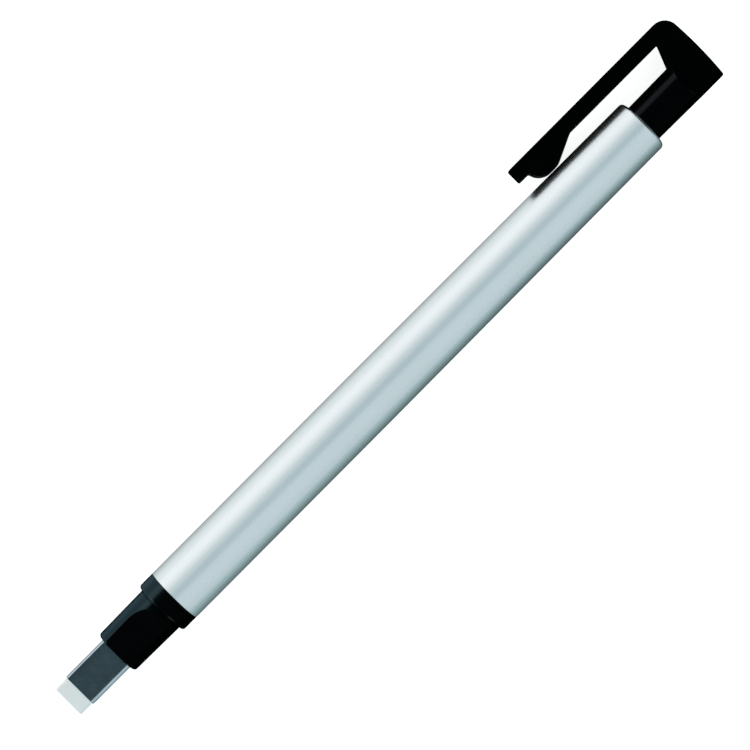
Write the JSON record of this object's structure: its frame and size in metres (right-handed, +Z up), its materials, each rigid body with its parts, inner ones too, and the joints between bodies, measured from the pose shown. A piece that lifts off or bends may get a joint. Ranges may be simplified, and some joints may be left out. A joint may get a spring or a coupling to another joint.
{
  "type": "retractable eraser",
  "caption": "Pen-shaped retractable eraser: a flat rubber stick in a steel guide, fed by a spring chuck when the knob with its pocket clip is pushed.",
  "frame": {"origin": "on the barrel's axis, at the barrel's front edge where it meets the nose flange", "axes": "+X along the barrel toward the push knob, +Y toward the pocket clip, +Z up, square to the flats of the nose"},
  "size_m": [0.1217, 0.0126, 0.0084],
  "materials": {
    "metal_satin": "satin anodised silver",
    "black_gloss": "smooth black moulding",
    "guide_steel": "drawn stainless steel",
    "brake_rubber": "matt dark rubber",
    "natural_plastic": "natural acetal",
    "clear_plastic": "milky polypropylene",
    "ring_brass": "turned brass",
    "spring_steel": "bright spring wire",
    "white_rubber": "matt off-white elastomer"
  },
  "bodies": {
    "barrel": {"barrel_tube": "metal_satin", "nose_piece": "black_gloss", "guide_sleeve": "guide_steel", "eraser_brake": "brake_rubber", "chuck_collar": "natural_plastic", "return_spring": "spring_steel"},
    "clutch": {"clutch_ring": "ring_brass"},
    "chuck": {"chuck_base": "natural_plastic", "refill_tube": "clear_plastic"},
    "upper_jaw": {"jaw_upper": "natural_plastic"},
    "lower_jaw": {"jaw_lower": "natural_plastic"},
    "push_knob": {"knob": "black_gloss"},
    "clip": {"clip_arm": "black_gloss"},
    "stick": {"eraser_stick": "white_rubber"}
  },
  "joints": [
    {"name": "knock_slide", "type": "slide", "parent": "barrel", "child": "chuck", "axis": [-1, 0, 0], "range_m": [0, 0.004], "stiffness_N_per_m": 400, "springref_m": -0.0005, "deforming": ["return_spring"]},
    {"name": "ring_slide", "type": "slide", "parent": "barrel", "child": "clutch", "axis": [-1, 0, 0], "range_m": [0, 0.0016]},
    {"name": "upper_jaw_hinge", "type": "hinge", "parent": "chuck", "child": "upper_jaw", "pos_m": [0.02006, 0, 0.002], "axis": [0, 1, 0], "range_deg": [0, 1.1]},
    {"name": "lower_jaw_hinge", "type": "hinge", "parent": "chuck", "child": "lower_jaw", "pos_m": [0.02006, 0, -0.002], "axis": [0, -1, 0], "range_deg": [0, 1.1]},
    {"name": "knob_turn", "type": "hinge", "parent": "chuck", "child": "push_knob", "pos_m": [0, 0, 0], "axis": [1, 0, 0], "continuous": true},
    {"name": "clip_flex", "type": "hinge", "parent": "push_knob", "child": "clip", "pos_m": [0.09788, 0.00837, 0], "axis": [0, 0, -1], "range_deg": [0, 5], "stiffness_Nm_per_rad": 1.2},
    {"name": "eraser_feed", "type": "slide", "parent": "barrel", "child": "stick", "axis": [-1, 0, 0], "range_m": [-0.0022, 0.035]}
  ],
  "couplings": [
    {"joint": "ring_slide", "follows": "knock_slide", "ratio": 0.4},
    {"joint": "upper_jaw_hinge", "follows": "knock_slide", "rad_per_m": 4.66},
    {"joint": "lower_jaw_hinge", "follows": "knock_slide", "rad_per_m": 4.66}
  ]
}
